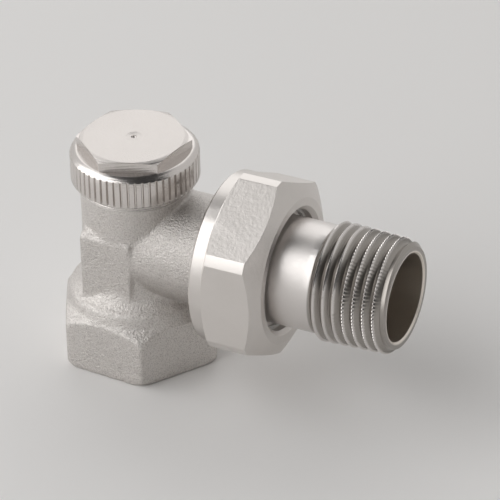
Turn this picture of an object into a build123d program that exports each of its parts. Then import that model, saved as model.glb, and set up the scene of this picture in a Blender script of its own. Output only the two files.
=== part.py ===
from build123d import *
import os
from math import sqrt

# Angle-pattern lockshield (return) radiator valve, DN 15, in millimetres.
# Frame: +Z up along the spindle, +X out through the union tail.
# Origin: centre of the inlet face, where the pipe screws in from below.

# ---- driving dimensions -------------------------------------------------
# valve body
outlet_height = 22.2     # inlet face to outlet axis
base_flats = 26.0        # hexagon across flats
base_turn = -4.0         # how the cast hexagon sits relative to the outlet, degrees
base_corner_top = 8.2    # where the hexagon corners end in the sloping shoulder
slope_end = (12.8, 10.4)  # radius and height where the slope meets the round step
step_edge = (12.35, 12.1)
step_top = (11.4, 13.1)
flare_top = 17.2         # where the shoulder has run out into the neck
foot = 0.9               # chamfer round the inlet face
neck_r = 9.6
branch_r = 9.5
neck_top = 37.6
cap_thread_r = 8.9       # outside thread on the neck for the cap
cap_thread_low = 34.1
socket_r = 9.3           # Rp 1/2 inlet socket, inside wall
socket_depth = 11.0
socket_lead = 0.4        # chamfer at the socket's mouth
seat_r = 5.5
seat_z = 15.0
chamber_r = 7.0
outlet_r = 6.3
bonnet_thread_r = 7.5
bonnet_thread_low = 31.2
spigot_r = 13.0          # G 3/4 outside thread for the union nut
spigot_start = 17.6
spigot_end = 25.3
spigot_lead = 0.8        # chamfer at the spigot's end
mouth_r = 10.4           # cone mouth that the tail's cone sits in
mouth_depth = 4.4
relief_r = 8.2           # run-out groove behind the cone mouth
relief_width = 2.0
pad_front = 9.7          # flat cast pad on the side of the body
pad_middle = (-1.6, 19.8)
pad_size = (9.6, 13.2)   # width and height
pad_chamfer = 0.9

# protective cap
cap_bottom = 34.2
cap_top = 41.9
knurl_r = 11.12
knurl_top = 39.1
cap_hex_flats = 17.3
cap_hex_turn = 20.0
cap_disc_r = 8.65
cap_hex_low = 39.9
cap_ceiling = 40.9
cap_step = 39.3           # ledge inside the cap that presses the gasket
cap_ledge_r = 10.0
cap_pocket_r = 7.0       # recess over the bonnet's boss
cap_chamfer = 0.32       # drop of the hexagon's shallow chamfer at its corners
groove_count = 57
groove_depth = 0.35
groove_width = 0.3
gasket_outer = 8.7
gasket_inner = 6.6

# bonnet and spindle, in the open position
bonnet_low = 25.5
bonnet_flange_top = 38.7
bonnet_top = 40.2
bonnet_hex_flats = 15.0
bonnet_skirt_r = 6.4     # lower skirt, and the boss above the flange
bonnet_groove_r = 6.15   # bottom of the O-ring groove
bonnet_groove = (29.0, 30.4)
spindle_thread_r = 5.4
spindle_r = 4.9
backstop_z = 33.2        # shoulder in the bonnet that stops the opened spindle
spindle_top = 40.0
spindle_groove_r = 3.95
lower_groove = (33.9, 35.0)
upper_groove = (35.5, 36.9)
backup_low = 36.53       # the backup ring fills the top of the upper groove
key_flats = 7.0          # hexagon socket in the spindle's top
key_floor = 37.5
plug_r = 6.5
plug_low = 20.6
plug_top = 22.3
stem_r = 3.6             # boss under the plug that carries the seal and its nut
stem_low = 17.0
stem_bore_r = 2.65
head_bore_r = 3.5        # bore in which the presetting screw's head runs
head_bore_low = 29.0
seal_r = 6.4
seal_low = 18.65
washer_r = 5.2
washer_low = 18.15
seal_nut_flats = 9.0
seal_hole_r = 3.65

# presetting screw
screw_r = 2.6            # threaded shank
screw_low = 16.4
screw_head_r = 3.45
screw_head = (31.9, 34.9)
screw_groove = (32.5, 33.7)
slot_width = 1.0
slot_depth = 0.9
pin_r = 1.5              # pin under the shank that carries the cone
pin_low = 12.6
clip_groove_r = 1.15
clip_groove = (12.9, 13.35)
cone_r = 5.0
cone_low = 13.5
cone_top = 16.8
clip_r = 2.5
clip_gap = 1.4
running_gap = 0.05
part_gap = 0.03

# union
nut_back = 16.9
nut_front = 29.5
nut_flats = 30.0
nut_corner_r = 16.8      # the bar's corners are turned off to this radius
nut_collar = 2.4         # turned band behind the hexagon
nut_hole_r = 10.65
nut_ring_r = 12.8        # flat ring round the hole on the nut's front
nut_lead = 0.7           # chamfers at both mouths of the nut
nut_front_drop = 2.2     # how far the front chamfer runs down at the corners
nut_bore_end = 27.6
slip_outer = 12.4
slip_inner = 10.2
tail_collar_r = 11.9
tail_collar_back = 25.4
tail_collar_front = 27.0
tail_r = 9.42
tail_thread_start = 36.4
tail_end = 50.4
tail_thread_r = 10.4
tail_thread_lead = 1.4
tail_face_r = 8.95       # outside edge of the end face
tail_bore_r = 7.7
tail_back = 19.1
tail_neck_bore_r = 6.6   # narrower bore behind the two drive lugs
tail_nose_r = 8.05
tail_groove_r = 7.9
tail_groove = (22.0, 23.3)
cone_shrink = 0.15       # how much smaller the tail's cone is than its mouth
lug_size = (1.8, 2.4, 6.0)
lug_middle = (6.0, 23.0)


# ---- helpers ------------------------------------------------------------
def turned(points):
    """Solid of revolution about +Z from (radius, height) corners."""
    outline = Polyline([(r, 0, z) for r, z in points], close=True)
    return revolve(make_face(outline), Axis.Z)


def along_outlet(shape):
    """Take a shape turned about +Z and lay it on the outlet axis."""
    return Pos(0, 0, outlet_height) * Rot(0, 90, 0) * shape


def ring(outer, inner, low, high):
    """Plain tube about +Z."""
    return turned([(inner, low), (outer, low), (outer, high), (inner, high)])


def hexagon(flats, low, high, turn=0.0):
    """Hexagonal prism about +Z with one corner towards turn."""
    sketch = RegularPolygon(flats / 2, 6, major_radius=False, rotation=turn)
    return Pos(0, 0, low) * extrude(sketch, high - low)


def o_ring(outer, inner, low, high):
    """O-ring squeezed between two walls: a rounded rectangle turned about +Z."""
    width, height = outer - inner, high - low
    corner = 0.35 * min(width, height)
    section = Pos((outer + inner) / 2, (high + low) / 2) * RectangleRounded(width, height, corner)
    return revolve(Plane.XZ * section, Axis.Z)


# ---- valve body ---------------------------------------------------------
def body_outside():
    """Cast outside: hexagon base, stepped shoulder, neck, outlet branch and pad."""
    corner_r = base_flats / sqrt(3)
    def at(corner):
        return (corner[0], 0, corner[1])

    rise = Polyline([(0, 0, 0), (corner_r - foot, 0, 0), (corner_r, 0, foot), (corner_r, 0, base_corner_top)])
    slope = ThreePointArc(at((corner_r, base_corner_top)), at((14.1, 9.5)), at(slope_end))
    step = Line(at(slope_end), at(step_edge))
    brow = ThreePointArc(at(step_edge), at((12.05, 12.8)), at(step_top))
    flare = ThreePointArc(at(step_top), at((10.2, 14.6)), at((neck_r, flare_top)))
    close = Polyline([(neck_r, 0, flare_top), (0, 0, flare_top), (0, 0, 0)])
    base = revolve(make_face(Wire([*rise.edges(), slope, step, brow, flare, *close.edges()])), Axis.Z)
    base &= hexagon(base_flats, 0, 20, base_turn)
    neck = ring(neck_r, 0, 10, cap_thread_low) + ring(cap_thread_r, 0, cap_thread_low, neck_top)
    branch = along_outlet(turned([(0, 0), (branch_r, 0), (branch_r, spigot_start - 2),
                                  (spigot_r - 0.4, spigot_start), (spigot_r, spigot_start + 0.4),
                                  (spigot_r, spigot_end - spigot_lead),
                                  (spigot_r - spigot_lead, spigot_end), (0, spigot_end)]))
    branch &= Pos(spigot_end / 2 + 0.01, 0, outlet_height) * Box(spigot_end, 40, 40)
    pad = Pos(pad_middle[0], -pad_front / 2, pad_middle[1]) * Box(pad_size[0], pad_front, pad_size[1])
    pad = chamfer(pad.edges().filter_by(Axis.X).group_by(Axis.Z)[-1].sort_by(Axis.Y)[:1], pad_chamfer)
    return base + neck + pad, branch


def valve_body():
    trunk, branch = body_outside()
    body = trunk + branch
    waterway = turned([(0, -1), (socket_r + socket_lead, -1), (socket_r + socket_lead, 0),
                       (socket_r, socket_lead), (socket_r, socket_depth), (7.4, socket_depth), (seat_r, 12.4),
                       (seat_r, seat_z), (seat_r + 0.7, seat_z), (seat_r + 0.9, seat_z - 0.5),
                       (chamber_r, seat_z - 0.5), (chamber_r, bonnet_thread_low),
                       (bonnet_thread_r, bonnet_thread_low), (bonnet_thread_r, neck_top - 0.6),
                       (bonnet_thread_r + 0.6, neck_top + 0.01), (0, neck_top + 0.01)])
    mouth_back = spigot_end - mouth_depth
    outlet = along_outlet(turned([(0, 0), (outlet_r, 0), (outlet_r, mouth_back - relief_width),
                                  (relief_r, mouth_back - relief_width), (relief_r, mouth_back),
                                  (mouth_r, spigot_end - 0.9), (mouth_r, spigot_end + 1),
                                  (0, spigot_end + 1)]))
    return body - waterway - outlet


def bonnet():
    """Screwed insert that carries the spindle, with its O-ring groove."""
    groove_low, groove_top = bonnet_groove
    skirt = turned([(0, bonnet_low), (bonnet_skirt_r, bonnet_low), (bonnet_skirt_r, groove_low - 1),
                    (chamber_r - part_gap, groove_low - 0.7), (chamber_r - part_gap, groove_low),
                    (bonnet_groove_r, groove_low), (bonnet_groove_r, groove_top),
                    (chamber_r - part_gap, groove_top),
                    (chamber_r - part_gap, bonnet_thread_low + part_gap),
                    (bonnet_thread_r - part_gap, bonnet_thread_low + part_gap + 0.3),
                    (bonnet_thread_r - part_gap, neck_top + 0.1), (0, neck_top + 0.1)])
    flange = hexagon(bonnet_hex_flats, neck_top + 0.02, bonnet_flange_top)
    boss = ring(bonnet_skirt_r, 0, bonnet_flange_top - 0.1, bonnet_top)
    hole = turned([(0, bonnet_low - 1), (spindle_thread_r + running_gap, bonnet_low - 1),
                   (spindle_thread_r + running_gap, backstop_z), (spindle_r + running_gap, backstop_z),
                   (spindle_r + running_gap, 39.7), (spindle_r + 0.5, 40.3), (0, 40.3)])
    return skirt + flange + boss - hole


# ---- spindle, turning in the bonnet -------------------------------------
def shutoff_spindle():
    """Hollow threaded spindle with two O-ring grooves, a plug flange and a hexagon socket."""
    top = spindle_top
    outside = turned([(0, stem_low), (stem_r, stem_low), (stem_r, plug_low), (plug_r, plug_low),
                      (plug_r, plug_top), (plug_r - 0.5, plug_top + 0.3),
                      (spindle_thread_r, plug_top + 0.7), (spindle_thread_r, backstop_z - 0.2),
                      (spindle_r, backstop_z - 0.2), (spindle_r, lower_groove[0]),
                      (spindle_groove_r, lower_groove[0]), (spindle_groove_r, lower_groove[1]),
                      (spindle_r, lower_groove[1]), (spindle_r, upper_groove[0]),
                      (spindle_groove_r, upper_groove[0]), (spindle_groove_r, upper_groove[1]),
                      (spindle_r, upper_groove[1]), (spindle_r, top - 0.3), (spindle_r - 0.3, top), (0, top)])
    bore = turned([(0, stem_low - 1), (stem_bore_r, stem_low - 1), (stem_bore_r, head_bore_low),
                   (head_bore_r, head_bore_low), (head_bore_r, key_floor + 0.1), (0, key_floor + 0.1)])
    socket = hexagon(key_flats, key_floor, top + 1)
    return outside - bore - socket


def seat_seal():
    return ring(seal_r, seal_hole_r, seal_low, plug_low - part_gap)


def seal_washer():
    return ring(washer_r, seal_hole_r, washer_low, seal_low - part_gap)


def seal_nut():
    blank = hexagon(seal_nut_flats, stem_low + 0.05, washer_low - part_gap)
    return blank - ring(seal_hole_r, 0, stem_low - 1, seal_low)


# ---- presetting screw, turning inside the spindle ------------------------
def preset_screw():
    """Presetting screw: head with O-ring groove and slot, threaded shank, stem for the cone."""
    head_low, head_top = screw_head
    body = turned([(0, pin_low), (pin_r, pin_low), (pin_r, clip_groove[0]), (clip_groove_r, clip_groove[0]),
                   (clip_groove_r, clip_groove[1]), (pin_r, clip_groove[1]), (pin_r, screw_low),
                   (screw_r, screw_low), (screw_r, head_low), (screw_head_r, head_low),
                   (screw_head_r, screw_groove[0]),
                   (screw_r, screw_groove[0]), (screw_r, screw_groove[1]), (screw_head_r, screw_groove[1]),
                   (screw_head_r, head_top), (0, head_top)])
    slot = Pos(0, 0, head_top) * Box(3 * screw_head_r, slot_width, 2 * slot_depth)
    return body - slot


def throttle_cone():
    """Regulating cone pressed on the end of the presetting screw."""
    hole_r, web_top = pin_r + part_gap, screw_low - part_gap
    return turned([(hole_r, cone_low), (cone_r - 1.8, cone_low), (cone_r, cone_top - 0.6), (cone_r, cone_top),
                   (screw_r + 0.1, cone_top), (screw_r + 0.1, web_top), (hole_r, web_top)])


def cone_clip():
    """Open retaining clip in the groove under the cone."""
    low, top = clip_groove
    full = ring(clip_r, clip_groove_r + part_gap, low + 0.05, top - 0.05)
    return full - Pos(clip_r, 0, low) * Box(2 * clip_r, clip_gap, 2)


# ---- protective cap ------------------------------------------------------
def protection_cap():
    """Screw cap: knurled skirt below, shallow chamfered hexagon above."""
    shoulder = turned([(0, cap_bottom), (knurl_r - 0.25, cap_bottom), (knurl_r, cap_bottom + 0.3),
                       (knurl_r, knurl_top), (knurl_r - 0.6, knurl_top + 0.45),
                       (cap_ledge_r, cap_hex_low), (0, cap_hex_low)])
    hex_head = hexagon(cap_hex_flats, cap_hex_low - 0.1, cap_top, cap_hex_turn)
    corner_r = cap_ledge_r + 0.1
    hex_head &= turned([(0, cap_hex_low - 0.1), (corner_r, cap_hex_low - 0.1),
                        (corner_r, cap_top - cap_chamfer),
                        (cap_disc_r, cap_top), (0, cap_top)])
    hollow = turned([(0, cap_bottom - 1), (cap_thread_r + 0.8, cap_bottom - 1),
                     (cap_thread_r + 0.8, cap_bottom), (cap_thread_r + running_gap, cap_bottom + 0.7),
                     (cap_thread_r + running_gap, cap_step), (cap_pocket_r, cap_step),
                     (cap_pocket_r, cap_ceiling), (0, cap_ceiling)])
    cap = shoulder + hex_head - hollow
    groove = Pos(knurl_r, 0, (cap_bottom + knurl_top) / 2) * Box(2 * groove_depth, groove_width, 8)
    turns = [Rot(0, 0, 360 / groove_count * (i + 0.5)) for i in range(groove_count)]
    keep = ring(20, 0, cap_bottom - 0.1, knurl_top + 0.3)
    return cap - [turn * groove & keep for turn in turns]


def cap_seal():
    """Flat gasket under the ledge inside the cap, pressed on the bonnet's flange."""
    return ring(gasket_outer, gasket_inner, bonnet_flange_top + part_gap, cap_step - part_gap)


# ---- union ---------------------------------------------------------------
def union_nut():
    """Hexagon nut with a turned band behind and a chamfered front."""
    corner_r = nut_corner_r
    half = nut_flats / 2
    prism = hexagon(nut_flats, nut_back, nut_front)
    outside = turned([(0, nut_back), (half - 0.3, nut_back), (half + 0.05, nut_back + 0.35),
                      (half + 0.05, nut_back + nut_collar), (corner_r, nut_back + nut_collar + 0.9),
                      (corner_r, nut_front - nut_front_drop), (nut_ring_r, nut_front), (0, nut_front)])
    thread_r = spigot_r + running_gap
    hole = turned([(0, nut_back - 1), (spigot_r + nut_lead, nut_back - 1), (spigot_r + nut_lead, nut_back),
                   (thread_r, nut_back + nut_lead), (thread_r, nut_bore_end),
                   (nut_hole_r, nut_bore_end), (nut_hole_r, nut_front - nut_lead),
                   (nut_hole_r + nut_lead, nut_front), (nut_hole_r + nut_lead, nut_front + 1),
                   (0, nut_front + 1)])
    return along_outlet((prism & outside) - hole)


def slip_ring():
    """Thin washer between the nut and the tail's collar."""
    return along_outlet(ring(slip_outer, slip_inner, tail_collar_front + part_gap, nut_bore_end - part_gap))


def tailpiece():
    """Union tail: sealing cone, collar, plain tube, R 1/2 taper thread end, two drive lugs in the bore."""
    cone_r_end = mouth_r - cone_shrink
    groove_low, groove_top = tail_groove
    outside = turned([(0, tail_back), (tail_bore_r, tail_back), (tail_nose_r, tail_back + 0.5),
                      (tail_nose_r, spigot_end - mouth_depth), (8.74, groove_low),
                      (tail_groove_r, groove_low), (tail_groove_r, groove_top), (9.56, groove_top),
                      (cone_r_end, tail_collar_back - 1), (cone_r_end, tail_collar_back),
                      (tail_collar_r, tail_collar_back), (tail_collar_r, tail_collar_front),
                      (tail_r, tail_collar_front), (tail_r, tail_thread_start),
                      (tail_thread_r, tail_thread_start + 1.0), (tail_thread_r, tail_end - tail_thread_lead),
                      (tail_face_r, tail_end), (0, tail_end)])
    lug_end = lug_middle[1] + lug_size[2] / 2
    bore = turned([(0, tail_back - 1), (tail_neck_bore_r, tail_back - 1), (tail_neck_bore_r, lug_end),
                   (tail_bore_r, lug_end + 1.2), (tail_bore_r, tail_end - 0.3),
                   (tail_bore_r + 0.3, tail_end), (tail_bore_r + 0.3, tail_end + 1), (0, tail_end + 1)])
    lugs = [Rot(0, 0, turn) * Pos(lug_middle[0], 0, lug_middle[1]) * Box(*lug_size) for turn in (0, 180)]
    return along_outlet(outside - bore + lugs)


def tail_o_ring():
    low, top = tail_groove
    return along_outlet(o_ring(8.85, tail_groove_r + part_gap, low + part_gap, top - part_gap))


# ---- write every piece ---------------------------------------------------
pieces = {
    "valve_body": valve_body(),
    "bonnet": bonnet(),
    "bonnet_o_ring": o_ring(chamber_r - part_gap, bonnet_groove_r + part_gap,
                            bonnet_groove[0] + part_gap, bonnet_groove[1] - part_gap),
    "shutoff_spindle": shutoff_spindle(),
    "spindle_o_ring_lower": o_ring(spindle_r, spindle_groove_r + part_gap,
                                   lower_groove[0] + part_gap, lower_groove[1] - part_gap),
    "spindle_o_ring_upper": o_ring(spindle_r, spindle_groove_r + part_gap,
                                   upper_groove[0] + part_gap, backup_low - part_gap),
    "spindle_backup_ring": ring(spindle_r, spindle_groove_r + part_gap,
                                backup_low, upper_groove[1] - part_gap),
    "seat_seal": seat_seal(),
    "seal_washer": seal_washer(),
    "seal_nut": seal_nut(),
    "preset_screw": preset_screw(),
    "preset_o_ring": o_ring(screw_head_r, screw_r + part_gap,
                            screw_groove[0] + part_gap, screw_groove[1] - part_gap),
    "throttle_cone": throttle_cone(),
    "cone_clip": cone_clip(),
    "protection_cap": protection_cap(),
    "cap_seal": cap_seal(),
    "union_nut": union_nut(),
    "slip_ring": slip_ring(),
    "tailpiece": tailpiece(),
    "tail_o_ring": tail_o_ring(),
}

os.makedirs("parts", exist_ok=True)
for name, piece in pieces.items():
    export_step(piece, f"parts/{name}.step")
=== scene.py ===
import bpy
import bmesh
from math import atan2, cos, hypot, pi, radians, sin
from mathutils import Matrix, Vector


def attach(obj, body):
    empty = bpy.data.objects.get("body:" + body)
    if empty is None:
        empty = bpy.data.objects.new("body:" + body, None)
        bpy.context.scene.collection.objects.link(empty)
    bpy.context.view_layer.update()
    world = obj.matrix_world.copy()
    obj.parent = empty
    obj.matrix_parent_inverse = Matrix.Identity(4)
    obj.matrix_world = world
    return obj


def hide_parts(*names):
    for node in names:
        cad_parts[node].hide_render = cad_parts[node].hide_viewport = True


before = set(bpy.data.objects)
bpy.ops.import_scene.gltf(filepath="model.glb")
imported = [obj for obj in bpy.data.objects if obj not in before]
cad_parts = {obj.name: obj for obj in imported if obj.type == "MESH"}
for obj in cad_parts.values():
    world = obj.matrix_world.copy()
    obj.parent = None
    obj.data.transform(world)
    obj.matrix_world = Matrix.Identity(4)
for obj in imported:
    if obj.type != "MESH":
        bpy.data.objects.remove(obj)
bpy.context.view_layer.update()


# ---- valve body -----------------------------------------------------------
# A brass hot stamping with a hexagon foot, a stepped shoulder, a round neck and a side branch.
# It is shot-blasted, so every edge is soft, and then nickel plated. Only the sealing faces,
# the threads and a narrow band under the cap are turned on the lathe.
mm = 0.001
branch_height = 22.2 * mm
spigot_back = 17.55 * mm
neck_thread_low = 34.1 * mm
blast_voxel = 0.26 * mm
blast_passes = 16
spigot_core = 11.95 * mm
neck_core = 8.25 * mm
socket_wall = 10.45 * mm
socket_end = 10.6 * mm


class Signal:
    """One value travelling through a material's nodes; sums and products of it add Math nodes."""

    def __init__(self, tree, socket=None):
        self.tree = tree
        self.socket = socket

    def node(self, kind, settings=None, sockets=None, out=0):
        made = self.tree.nodes.new(kind)
        for name, value in (settings or {}).items():
            setattr(made, name, value)
        for name, value in (sockets or {}).items():
            if isinstance(value, Signal):
                self.tree.links.new(value.socket, made.inputs[name])
            else:
                made.inputs[name].default_value = value
        return Signal(self.tree, made.outputs[out])

    def maths(self, operation, *values):
        return self.node("ShaderNodeMath", {"operation": operation}, dict(enumerate(values)))

    def __add__(self, other):
        return self.maths("ADD", self, other)

    __radd__ = __add__

    def __sub__(self, other):
        return self.maths("SUBTRACT", self, other)

    def __rsub__(self, other):
        return self.maths("SUBTRACT", other, self)

    def __mul__(self, other):
        return self.maths("MULTIPLY", self, other)

    __rmul__ = __mul__

    def larger(self, other):
        return self.maths("MAXIMUM", self, other)

    def root(self):
        return self.maths("SQRT", self)

    def wave(self, spacing):
        """A sine along this length, with the given spacing in metres."""
        return self.maths("SINE", self * (2 * pi / spacing))

    def between(self, low, high):
        """0 below low, 1 above high, smooth in between."""
        return self.node("ShaderNodeMapRange", {"interpolation_type": "SMOOTHSTEP"},
                         {"Value": self, "From Min": low, "From Max": high})

    def part(self, name):
        """One of the three numbers of a vector."""
        return self.node("ShaderNodeSeparateXYZ", {}, {"Vector": self}, name)

    def noise(self, scale, detail=2.0, roughness=0.5):
        return self.node("ShaderNodeTexNoise", {}, {"Vector": self, "Scale": scale, "Detail": detail,
                                                    "Roughness": roughness})

    def blend(self, first, second):
        """A colour between first and second, by this value."""
        return self.node("ShaderNodeMix", {"data_type": "RGBA"}, {"Factor": self, 6: first, 7: second}, 2)


def finish(name, metallic):
    """An empty material with its shader: returns (material, shader node, object coordinates)."""
    made = bpy.data.materials.new(name)
    made.use_nodes = True
    shader = made.node_tree.nodes["Principled BSDF"]
    shader.inputs["Metallic"].default_value = metallic
    place = Signal(made.node_tree).node("ShaderNodeTexCoord", out="Object")
    return made, shader, place


def put(shader, **values):
    """Feed the named sockets of a shader; underscores stand for spaces."""
    for name, value in values.items():
        socket = shader.inputs[name.replace("_", " ")]
        if isinstance(value, Signal):
            value.tree.links.new(value.socket, socket)
        else:
            socket.default_value = value


def relief(height, distance):
    """A Bump node from a height signal of 0 to 1 and its depth in metres."""
    return height.node("ShaderNodeBump", {}, {"Strength": 1.0, "Distance": distance, "Height": height})


def show(mesh, name, body, node, material, smooth=40):
    """Make an object of a finished bmesh or mesh, and hang it on its body in place of its CAD node."""
    if isinstance(mesh, bmesh.types.BMesh):
        filled = bpy.data.meshes.new(name)
        mesh.to_mesh(filled)
        mesh.free()
        mesh = filled
    mesh.name = name
    piece = bpy.data.objects.new(name, mesh)
    bpy.context.scene.collection.objects.link(piece)
    mesh.materials.clear()
    mesh.materials.append(material)
    mesh.shade_smooth()
    mesh.set_sharp_from_angle(angle=radians(smooth))
    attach(piece, body)
    if node:
        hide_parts(node)
    return piece


def screw_thread(bm, crest, pitch, depth, start, end, bore=False):
    """A one-start thread about Z from start to end: teeth drawn once, then turned through a full
    turn while they advance by one pitch. Both ends run out to the bottom of the thread."""
    columns = 144
    side = -1 if bore else 1
    tooth = [(0.00, 1.0), (0.08, 0.94), (0.42, 0.06), (0.50, 0.0), (0.58, 0.06), (0.92, 0.94)]
    first = start - 1.5 * pitch
    turns = int((end - start) / pitch) + 4
    corners = [((first + (n + along) * pitch), crest - side * depth * low)
               for n in range(turns) for along, low in tooth]
    verts = [bm.verts.new((radius, 0, height)) for height, radius in corners]
    edges = [bm.edges.new(pair) for pair in zip(verts, verts[1:])]
    bmesh.ops.spin(bm, geom=verts + edges, cent=(0, 0, 0), axis=(0, 0, 1), angle=2 * pi, steps=columns,
                   dvec=(0, 0, pitch / columns), use_merge=False)
    run_out = 0.55 * pitch
    for v in bm.verts:
        height = min(max(v.co.z, start), end)
        radius = hypot(v.co.x, v.co.y)
        turn = atan2(v.co.y, v.co.x)
        mean = crest - side * depth
        reach = side * depth * min(1.0, min(height - start, end - height) / run_out)
        radius = min(radius, mean + reach) if side > 0 else max(radius, mean + reach)
        v.co = Vector((radius * cos(turn), radius * sin(turn), height))
    bmesh.ops.remove_doubles(bm, verts=bm.verts, dist=2e-7)
    bmesh.ops.dissolve_degenerate(bm, edges=bm.edges, dist=1e-7)
    bmesh.ops.recalc_face_normals(bm, faces=bm.faces)
    if bore:
        bmesh.ops.reverse_faces(bm, faces=bm.faces)
    return bm


# blasted nickel: warm light grey, a fine shot grain, smoother where the lathe has been
cast_nickel, shader, place = finish("blasted_nickel", 1.0)
shot = place.noise(2600, 3.0, 0.6)
dents = place.noise(900, 2.0, 0.5)
clouds = place.noise(60, 3.0, 0.5)
height_up = place.part("Z")
along = place.part("X")
turned_band = height_up.between(32.6 * mm, 32.75 * mm)
turned_face = along.between(17.2 * mm, 17.6 * mm)
lathed = turned_band.larger(turned_face)
rings = height_up.wave(0.42 * mm)
fine = place.noise(4600, 2.0, 0.7)
grain = (shot * 0.6 + dents * 0.3 + fine * 0.5) * (1 - lathed) + lathed * (0.5 + rings * 0.12)
pits = fine.between(0.30, 0.56)
plating = clouds.blend((0.68, 0.65, 0.625, 1), (0.78, 0.75, 0.72, 1))
put(shader, Base_Color=pits.blend((0.50, 0.47, 0.45, 1), plating),
    Roughness=0.26 + shot * 0.12 - lathed * 0.12 + clouds * 0.04,
    Normal=relief(grain, 0.30 * mm))

# the stamping: the CAD shape merged, softened all over, its threaded lands turned down to their cores
stamping = bmesh.new()
stamping.from_mesh(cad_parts["valve_body"].data)
bmesh.ops.remove_doubles(stamping, verts=stamping.verts, dist=1e-6)
for v in stamping.verts:
    across = hypot(v.co.y, v.co.z - branch_height)
    round_neck = hypot(v.co.x, v.co.y)
    if v.co.x > spigot_back and across > spigot_core:
        v.co.y *= spigot_core / across
        v.co.z = branch_height + (v.co.z - branch_height) * spigot_core / across
    elif v.co.z > neck_thread_low + 0.05 * mm and round_neck > neck_core:
        v.co.x *= neck_core / round_neck
        v.co.y *= neck_core / round_neck
    elif v.co.z < socket_end + 1.0 * mm and 9.0 * mm < round_neck < 10.0 * mm:
        v.co.x *= socket_wall / round_neck
        v.co.y *= socket_wall / round_neck
rough_mesh = bpy.data.meshes.new("stamping_rough")
stamping.to_mesh(rough_mesh)
stamping.free()
rough = bpy.data.objects.new("stamping_rough", rough_mesh)
bpy.context.scene.collection.objects.link(rough)
blast = rough.modifiers.new("blast", "REMESH")
blast.mode = "VOXEL"
blast.voxel_size = blast_voxel
soften = rough.modifiers.new("soften", "SMOOTH")
soften.factor = 0.5
soften.iterations = blast_passes
thin = rough.modifiers.new("thin", "DECIMATE")
thin.ratio = 0.5
bpy.context.view_layer.update()
soft_mesh = bpy.data.meshes.new_from_object(rough.evaluated_get(bpy.context.evaluated_depsgraph_get()))
bpy.data.objects.remove(rough)
show(soft_mesh, "body_stamping", "body", "valve_body", cast_nickel, smooth=60)


# ---- threads on the body: union nut, cap and pipe ----------------------------
# All are cut on the lathe after blasting: a G 3/4 thread on the branch for the union nut, a
# fine thread on the neck for the cap, and an Rp 1/2 thread inside the foot for the pipe.
spigot_crest = 12.98 * mm
spigot_pitch = 1.814 * mm
neck_crest = 8.88 * mm
neck_pitch = 1.0 * mm
socket_crest = 9.32 * mm

lathe_nickel, shader, place = finish("turned_nickel", 1.0)
streaks = place.noise(700, 2.0, 0.6)
put(shader, Base_Color=streaks.blend((0.62, 0.59, 0.57, 1), (0.74, 0.71, 0.69, 1)),
    Roughness=0.16 + streaks * 0.12,
    Normal=relief(streaks, 0.01 * mm))


def lay_down(bm, height):
    """Turn a piece made about Z onto the outlet axis at that height."""
    bmesh.ops.transform(bm, matrix=Matrix.Translation((0, 0, height)) @ Matrix.Rotation(pi / 2, 4, "Y"),
                        verts=bm.verts)
    return bm


spigot_thread = screw_thread(bmesh.new(), spigot_crest, spigot_pitch, 1.1 * mm, 18.0 * mm, 25.0 * mm)
show(lay_down(spigot_thread, branch_height), "spigot_thread", "body", None, lathe_nickel)
neck_thread = screw_thread(bmesh.new(), neck_crest, neck_pitch, 0.62 * mm, 34.15 * mm, 37.45 * mm)
show(neck_thread, "neck_thread", "body", None, lathe_nickel)
pipe_thread = screw_thread(bmesh.new(), socket_crest, spigot_pitch, 1.1 * mm, 0.5 * mm, 10.4 * mm, bore=True)
show(pipe_thread, "socket_thread", "body", None, lathe_nickel)


# ---- protection cap ---------------------------------------------------------
# A nickel-plated brass screw cap. It is turned from bar: a knurled skirt, a conical shoulder,
# and a shallow hexagon with chamfered corners and a tiny lathe centre in its blasted top.
cap_foot = 34.2 * mm
knurl_radius = 11.12 * mm
knurl_top = 39.1 * mm
ledge_radius = 10.0 * mm
ledge_height = 39.9 * mm
hexagon_top = 41.9 * mm
hexagon_half = 8.65 * mm
hexagon_corner = 10.05 * mm
skirt_inside = 8.95 * mm
skirt_hole = 6.9 * mm
hexagon_turn = radians(20)
chamfer_drop = 0.45 * mm
grooves = 57
groove_depth = 0.45 * mm
cells = 8


def lathe(bm, outline, steps, closed=True):
    """Spin (radius, height) corners about Z; a closed outline makes a ring, an open one a cap."""
    verts = [bm.verts.new((radius, 0, height)) for radius, height in outline]
    pairs = list(zip(verts, verts[1:]))
    if closed:
        pairs.append((verts[-1], verts[0]))
    edges = [bm.edges.new(pair) for pair in pairs]
    bmesh.ops.spin(bm, geom=verts + edges, cent=(0, 0, 0), axis=(0, 0, 1), angle=2 * pi, steps=steps,
                   use_merge=True)
    bmesh.ops.remove_doubles(bm, verts=bm.verts, dist=1e-7)
    bmesh.ops.dissolve_degenerate(bm, edges=bm.edges, dist=1e-8)
    bmesh.ops.recalc_face_normals(bm, faces=bm.faces)
    return bm


def mill_flats(bm, half, turn):
    """Cut six flats about Z at a distance from it, the first square to the direction turn."""
    for n in range(6):
        way = Vector((cos(turn + n * pi / 3), sin(turn + n * pi / 3), 0))
        cut = bmesh.ops.bisect_plane(bm, geom=bm.verts[:] + bm.edges[:] + bm.faces[:], dist=1e-7,
                                     plane_co=way * half, plane_no=way, clear_outer=True)
        rim = [e for e in cut["geom_cut"] if isinstance(e, bmesh.types.BMEdge)]
        bmesh.ops.contextual_create(bm, geom=rim)
    return bm


def soften_edges(piece, width, angle=25, segments=2):
    """A live bevel on the piece's sharp edges."""
    bevel = piece.modifiers.new("soften", "BEVEL")
    bevel.width = width
    bevel.segments = segments
    bevel.limit_method = "ANGLE"
    bevel.angle_limit = radians(angle)
    bevel.harden_normals = True


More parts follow.
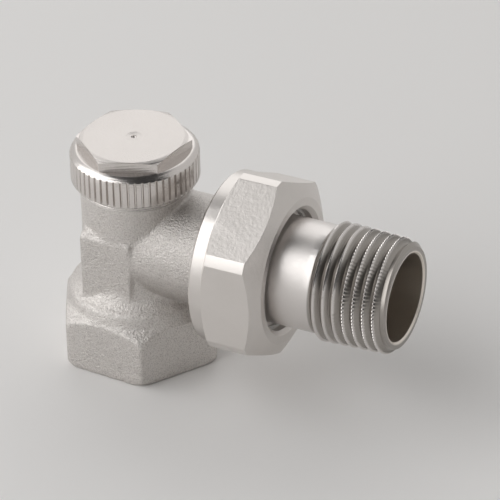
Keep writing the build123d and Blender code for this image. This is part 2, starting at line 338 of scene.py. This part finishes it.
skirt = lathe(bmesh.new(), [
    (9.7 * mm, cap_foot), (knurl_radius - 0.28 * mm, cap_foot),
    (knurl_radius - 0.08 * mm, cap_foot + 0.12 * mm),
    (knurl_radius, cap_foot + 0.3 * mm), (knurl_radius, 36.6 * mm), (knurl_radius, knurl_top - 0.1 * mm),
    (knurl_radius - 0.12 * mm, knurl_top + 0.12 * mm), (knurl_radius - 0.45 * mm, knurl_top + 0.42 * mm),
    (10.25 * mm, 39.77 * mm), (ledge_radius, ledge_height),
    (ledge_radius - 0.2 * mm, ledge_height + 0.01 * mm), (skirt_hole, ledge_height),
    (skirt_hole, 39.35 * mm), (skirt_inside, 39.3 * mm), (skirt_inside, cap_foot + 0.7 * mm)],
    grooves * cells)
for v in skirt.verts:
    radius = hypot(v.co.x, v.co.y)
    if radius > knurl_radius - 0.5 * mm and v.co.z < knurl_top:
        cell = round(atan2(v.co.y, v.co.x) / (2 * pi) * grooves * cells) % cells
        if cell in (0, 1):
            v.co.x *= (radius - groove_depth) / radius
            v.co.y *= (radius - groove_depth) / radius
head = lathe(bmesh.new(), [
    (0, ledge_height - 0.05 * mm), (hexagon_corner, ledge_height - 0.05 * mm),
    (hexagon_corner, hexagon_top - chamfer_drop),
    (hexagon_half, hexagon_top), (1.35 * mm, hexagon_top), (1.0 * mm, hexagon_top - 0.09 * mm),
    (0.5 * mm, hexagon_top - 0.15 * mm), (0.35 * mm, hexagon_top - 0.45 * mm), (0, hexagon_top - 0.6 * mm)],
    96, closed=False)
mill_flats(head, hexagon_half, hexagon_turn + pi / 6)

cap_nickel, shader, place = finish("cap_nickel", 1.0)
shot = place.noise(3200, 2.0, 0.6)
clouds = place.noise(90, 3.0, 0.5)
up = place.part("Z")
crown = up.between(hexagon_top - 0.25 * mm, hexagon_top - 0.1 * mm)
lines = up.wave(0.3 * mm)
put(shader, Base_Color=clouds.blend((0.68, 0.645, 0.62, 1), (0.76, 0.725, 0.70, 1)),
    Roughness=0.18 + crown * 0.20 + shot * 0.12,
    Normal=relief(shot * (0.25 + crown * 0.75) + lines * (1 - crown) * 0.1, 0.06 * mm))

show(skirt, "cap_skirt", "cap", "protection_cap", cap_nickel, smooth=30)
head_piece = show(head, "cap_hexagon", "cap", None, cap_nickel, smooth=9)
soften_edges(head_piece, 0.09 * mm)


# ---- union nut ----------------------------------------------------------------
# A hexagon nut turned from hexagon brass bar: a round band behind the flats, a wide chamfer and
# a flat ring in front. The flats keep the drawn bar's satin skin, the rest is turned.
nut_back = 16.9 * mm
nut_front = 29.5 * mm
nut_half = 15.0 * mm
nut_corner = 16.8 * mm
front_drop = 2.2 * mm
band_end = 19.3 * mm
hole_radius = 10.65 * mm
thread_radius = 13.05 * mm
thread_end = 27.6 * mm
face_radius = 12.8 * mm

nut = lathe(bmesh.new(), [
    (13.7 * mm, nut_back), (14.75 * mm, nut_back), (15.02 * mm, nut_back + 0.3 * mm), (15.05 * mm, band_end),
    (nut_corner, band_end + 0.9 * mm), (nut_corner, nut_front - front_drop), (face_radius, nut_front),
    (hole_radius + 0.7 * mm, nut_front), (hole_radius, nut_front - 0.7 * mm), (hole_radius, thread_end),
    (thread_radius, thread_end), (thread_radius, nut_back + 0.7 * mm)], 120)
mill_flats(nut, nut_half, pi / 6)
lay_down(nut, branch_height)

nut_nickel, shader, place = finish("nut_nickel", 1.0)
mottle = place.noise(1500, 3.0, 0.6)
clouds = place.noise(120, 3.0, 0.5)
sideways = place.part("Y")
from_axis = place.part("Z") - branch_height
around = sideways * sideways + from_axis * from_axis
out_from_axis = around.root()
along = place.part("X")
on_flats = along.between(19.3 * mm, 19.5 * mm) * (1 - out_from_axis.between(16.74 * mm, 16.79 * mm))
rings = out_from_axis.wave(0.35 * mm)
put(shader, Base_Color=clouds.blend((0.68, 0.65, 0.62, 1), (0.77, 0.735, 0.71, 1)),
    Roughness=0.26 + on_flats * 0.12 + mottle * 0.10,
    Normal=relief(mottle * (0.25 + on_flats * 0.75) + rings * (1 - on_flats) * 0.06, 0.042 * mm))
nut_piece = show(nut, "union_nut_body", "nut", "union_nut", nut_nickel, smooth=25)
soften_edges(nut_piece, 0.16 * mm)


# ---- tailpiece ------------------------------------------------------------------
# A turned brass union tail: sealing cone and collar inside the nut, a smooth tube, and a tapered
# R 1/2 pipe thread whose outer crests are nicked so that hemp or tape holds.
tail_crest = 10.46 * mm
tail_pitch = 1.814 * mm
tail_depth = 1.06 * mm
tail_taper = 1 / 32
tail_start = 36.4 * mm
tail_end = 50.4 * mm
tube_radius = 9.42 * mm
end_radius = 8.9 * mm
bore_radius = 7.7 * mm
tail_columns = 288

tail = bmesh.new()
tooth = [(0.00, 1.0), (0.07, 0.95), (0.43, 0.05), (0.50, 0.0), (0.57, 0.05), (0.93, 0.95)]
first = tail_start - 1.5 * tail_pitch
corners = [(tail_crest - tail_depth * low, first + (n + along_tooth) * tail_pitch)
           for n in range(12) for along_tooth, low in tooth]
verts = [tail.verts.new((radius, 0, height)) for radius, height in corners]
edges = [tail.edges.new(pair) for pair in zip(verts, verts[1:])]
bmesh.ops.spin(tail, geom=verts + edges, cent=(0, 0, 0), axis=(0, 0, 1), angle=2 * pi, steps=tail_columns,
               dvec=(0, 0, tail_pitch / tail_columns), use_merge=False)
nick_start = 41.5 * mm
nick_depth = 0.2 * mm
for v in tail.verts:
    height = min(max(v.co.z, tail_start), tail_end)
    turn = atan2(v.co.y, v.co.x)
    radius = hypot(v.co.x, v.co.y)
    column = round(turn / (2 * pi) * tail_columns)
    if radius > tail_crest - 0.1 * tail_depth and height > nick_start and column % 3:
        radius -= nick_depth
    radius -= tail_taper * (height - tail_start)
    radius = min(radius, tube_radius + 1.1 * (height - tail_start), end_radius + 1.0 * (tail_end - height))
    radius = max(radius, tube_radius - 0.8 * (height - tail_start), end_radius - 0.3 * (tail_end - height))
    v.co = Vector((radius * cos(turn), radius * sin(turn), height))
bmesh.ops.remove_doubles(tail, verts=tail.verts, dist=2e-7)
bmesh.ops.dissolve_degenerate(tail, edges=tail.edges, dist=1e-7)


def carry_on(bm, height, outline):
    """Turn on from the open rim at a height, through (radius, height) corners."""
    rim = [e for e in bm.edges if e.is_boundary and all(abs(v.co.z - height) < 1e-6 for v in e.verts)]
    for radius, level in outline:
        made = bmesh.ops.extrude_edge_only(bm, edges=rim)["geom"]
        for v in made:
            if isinstance(v, bmesh.types.BMVert):
                out = hypot(v.co.x, v.co.y)
                v.co = Vector((v.co.x * radius / out, v.co.y * radius / out, level))
        rim = [e for e in made if isinstance(e, bmesh.types.BMEdge) and e.is_boundary]


carry_on(tail, tail_start, [
    (tube_radius, 35.0 * mm), (tube_radius, 27.2 * mm), (9.6 * mm, 27.0 * mm), (11.7 * mm, 27.0 * mm),
    (11.9 * mm, 26.8 * mm), (11.9 * mm, 25.5 * mm), (11.8 * mm, 25.4 * mm), (10.25 * mm, 25.4 * mm),
    (10.25 * mm, 24.4 * mm), (9.56 * mm, 23.3 * mm), (7.9 * mm, 23.3 * mm), (7.9 * mm, 22.0 * mm),
    (8.74 * mm, 22.0 * mm), (8.05 * mm, 20.9 * mm), (8.05 * mm, 19.6 * mm), (7.7 * mm, 19.12 * mm),
    (6.6 * mm, 19.12 * mm), (6.6 * mm, 26.0 * mm), (bore_radius, 27.2 * mm), (bore_radius, 45.0 * mm),
    (bore_radius, tail_end - 0.25 * mm), (bore_radius + 0.25 * mm, tail_end), (end_radius, tail_end)])
bmesh.ops.remove_doubles(tail, verts=tail.verts, dist=2e-6)
bmesh.ops.recalc_face_normals(tail, faces=tail.faces)
lay_down(tail, branch_height)

tail_nickel, shader, place = finish("tail_nickel", 1.0)
sideways = place.part("Y")
from_axis = place.part("Z") - branch_height
around = sideways * sideways + from_axis * from_axis
out_from_axis = around.root()
along = place.part("X")
inside = 1 - out_from_axis.between(7.9 * mm, 8.3 * mm)
cutter = along.node("ShaderNodeTexNoise", {"noise_dimensions": "1D"},
                    {"W": along, "Scale": 4000, "Detail": 2.0})
mottle = place.noise(1800, 3.0, 0.6)
tube_part = 1 - along.between(36.2 * mm, 36.6 * mm)
crest = (out_from_axis + (along - tail_start) * tail_taper).between(9.95 * mm, 10.38 * mm)
flank = (1 - crest) * (1 - tube_part) * (1 - inside)
# painted shade: the thread flanks and roots are coloured dark brown for the shade in the thread's hollows,
# partly also for thinner plating there
outside = flank.blend((0.74, 0.71, 0.69, 1), (0.38, 0.355, 0.33, 1))
put(shader, Base_Color=inside.blend(outside, (0.80, 0.74, 0.67, 1)),
    Roughness=0.14 + flank * 0.12 + tube_part * 0.20 + mottle * 0.10 + inside * 0.16,
    Normal=relief(mottle * 0.5 + cutter * 0.25, 0.03 * mm))
show(tail, "tail_turned", "tail", "tailpiece", tail_nickel, smooth=35)

lug = bmesh.new()
for side in (-1, 1):
    bmesh.ops.create_cube(lug, size=1.0, matrix=Matrix.Translation((side * 6.2 * mm, 0, 23.0 * mm))
                          @ Matrix.Diagonal((1.6 * mm, 2.4 * mm, 6.0 * mm, 1)))
bmesh.ops.bevel(lug, geom=lug.edges[:], offset=0.25 * mm, segments=3, profile=0.5, affect="EDGES",
                material=-1)
lay_down(lug, branch_height)
show(lug, "tail_key_lugs", "tail", None, tail_nickel)


# ---- inner pieces ---------------------------------------------------------------
# Bonnet, spindle and presetting screw are bare machined brass. The O-rings and the seat seal are
# black rubber, the backing and slip rings PTFE, the cap gasket fibre, the clip spring steel.
brass, shader, place = finish("bare_brass", 1.0)
streaks = place.noise(500, 3.0, 0.6)
put(shader, Base_Color=streaks.blend((0.72, 0.50, 0.23, 1), (0.84, 0.63, 0.33, 1)),
    Roughness=0.18 + streaks * 0.16, Normal=relief(streaks, 0.012 * mm))
rubber, shader, place = finish("seal_rubber", 0.0)
grit = place.noise(2200, 3.0, 0.6)
put(shader, Base_Color=grit.blend((0.012, 0.012, 0.013, 1), (0.035, 0.034, 0.033, 1)),
    Roughness=0.42 + grit * 0.2, Normal=relief(grit, 0.01 * mm))
ptfe, shader, place = finish("white_ptfe", 0.0)
grit = place.noise(1500, 3.0, 0.6)
put(shader, Base_Color=grit.blend((0.72, 0.72, 0.70, 1), (0.82, 0.82, 0.80, 1)),
    Roughness=0.38 + grit * 0.15, Normal=relief(grit, 0.008 * mm))
fibre, shader, place = finish("gasket_fibre", 0.0)
grit = place.noise(1200, 4.0, 0.7)
put(shader, Base_Color=grit.blend((0.16, 0.035, 0.025, 1), (0.30, 0.09, 0.06, 1)),
    Roughness=0.7 + grit * 0.2, Normal=relief(grit, 0.02 * mm))
steel, shader, place = finish("spring_steel", 1.0)
grit = place.noise(900, 3.0, 0.6)
put(shader, Base_Color=grit.blend((0.50, 0.50, 0.52, 1), (0.60, 0.60, 0.61, 1)),
    Roughness=0.2 + grit * 0.15, Normal=relief(grit, 0.008 * mm))
inner_finish = {
    brass: ("bonnet", "shutoff_spindle", "seal_washer", "seal_nut", "preset_screw", "throttle_cone"),
    rubber: ("bonnet_o_ring", "spindle_o_ring_lower", "spindle_o_ring_upper", "seat_seal", "preset_o_ring",
             "tail_o_ring"),
    ptfe: ("spindle_backup_ring", "slip_ring"),
    fibre: ("cap_seal",),
    steel: ("cone_clip",)}
for material, names in inner_finish.items():
    for name in names:
        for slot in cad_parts[name].material_slots:
            slot.material = material


# ---- floor, light and camera ------------------------------------------------------
# A white table in a light tent, with big softboxes on the left and behind. The tent has a gap
# overhead and a dark camera side, which give turned nickel its light and dark bands.
floor_mesh = bmesh.new()
bmesh.ops.create_circle(floor_mesh, cap_ends=True, radius=3.0, segments=96)
bmesh.ops.translate(floor_mesh, vec=(0, 0, -0.02 * mm), verts=floor_mesh.verts)
filled = bpy.data.meshes.new("floor")
floor_mesh.to_mesh(filled)
floor_mesh.free()
floor = bpy.data.objects.new("floor", filled)
bpy.context.scene.collection.objects.link(floor)
table, shader, place = finish("white_table", 0.0)
put(shader, Base_Color=(0.86, 0.85, 0.84, 1), Roughness=0.9)
filled.materials.append(table)

tent = bpy.data.worlds.new("tent")
tent.use_nodes = True
bpy.context.scene.world = tent
sky = Signal(tent.node_tree)
way = sky.node("ShaderNodeTexCoord", out="Generated")
east, north, up = way.part("X"), way.part("Y"), way.part("Z")
seen = sky.node("ShaderNodeLightPath", {}, {}, "Is Camera Ray")
overhead = up.between(0.86, 0.90)
camera_side = (east * 0.55 - north * 0.50 + up * 0.67).between(0.80, 0.88)
dark = overhead.larger(camera_side)
light = 0.60 * (1 - dark) + 0.03
strength = light * (1 - seen) + seen
backdrop = tent.node_tree.nodes["Background"]
backdrop.inputs["Color"].default_value = (1.0, 0.985, 0.97, 1)
tent.node_tree.links.new(strength.socket, backdrop.inputs["Strength"])

for name, stand, size, energy in (("left_softbox", Vector((-0.75, -0.50, 0.65)), 1.4, 8.5),
                                  ("back_softbox", Vector((-0.45, 0.95, 0.72)), 1.1, 2.4)):
    box = bpy.data.lights.new(name, "AREA")
    box.size = size
    box.energy = energy
    softbox = bpy.data.objects.new(name, box)
    softbox.matrix_world = Matrix.Translation(stand) @ stand.to_track_quat("Z", "Y").to_matrix().to_4x4()
    softbox.visible_camera = False
    bpy.context.scene.collection.objects.link(softbox)

azimuth, elevation, roll = radians(26.46), radians(33.03), radians(-1.6)
target = Vector((21.44, 0, 24.31)) * mm
distance = 700 * mm
right = Vector((cos(azimuth), sin(azimuth), 0))
back = Vector((sin(azimuth) * cos(elevation), -cos(azimuth) * cos(elevation), sin(elevation)))
upward = back.cross(right)
rolled_right = right * cos(roll) + upward * sin(roll)
rolled_up = upward * cos(roll) - right * sin(roll)
lens = bpy.data.cameras.new("camera")
lens.lens = 295.8
lens.sensor_width = 36
lens.clip_start = 0.01
camera = bpy.data.objects.new("camera", lens)
bpy.context.scene.collection.objects.link(camera)
turn = Matrix((rolled_right, rolled_up, back)).transposed()
camera.matrix_world = Matrix.Translation(target + back * distance) @ turn.to_4x4()
bpy.context.scene.camera = camera
bpy.context.scene.view_settings.view_transform = "Standard"
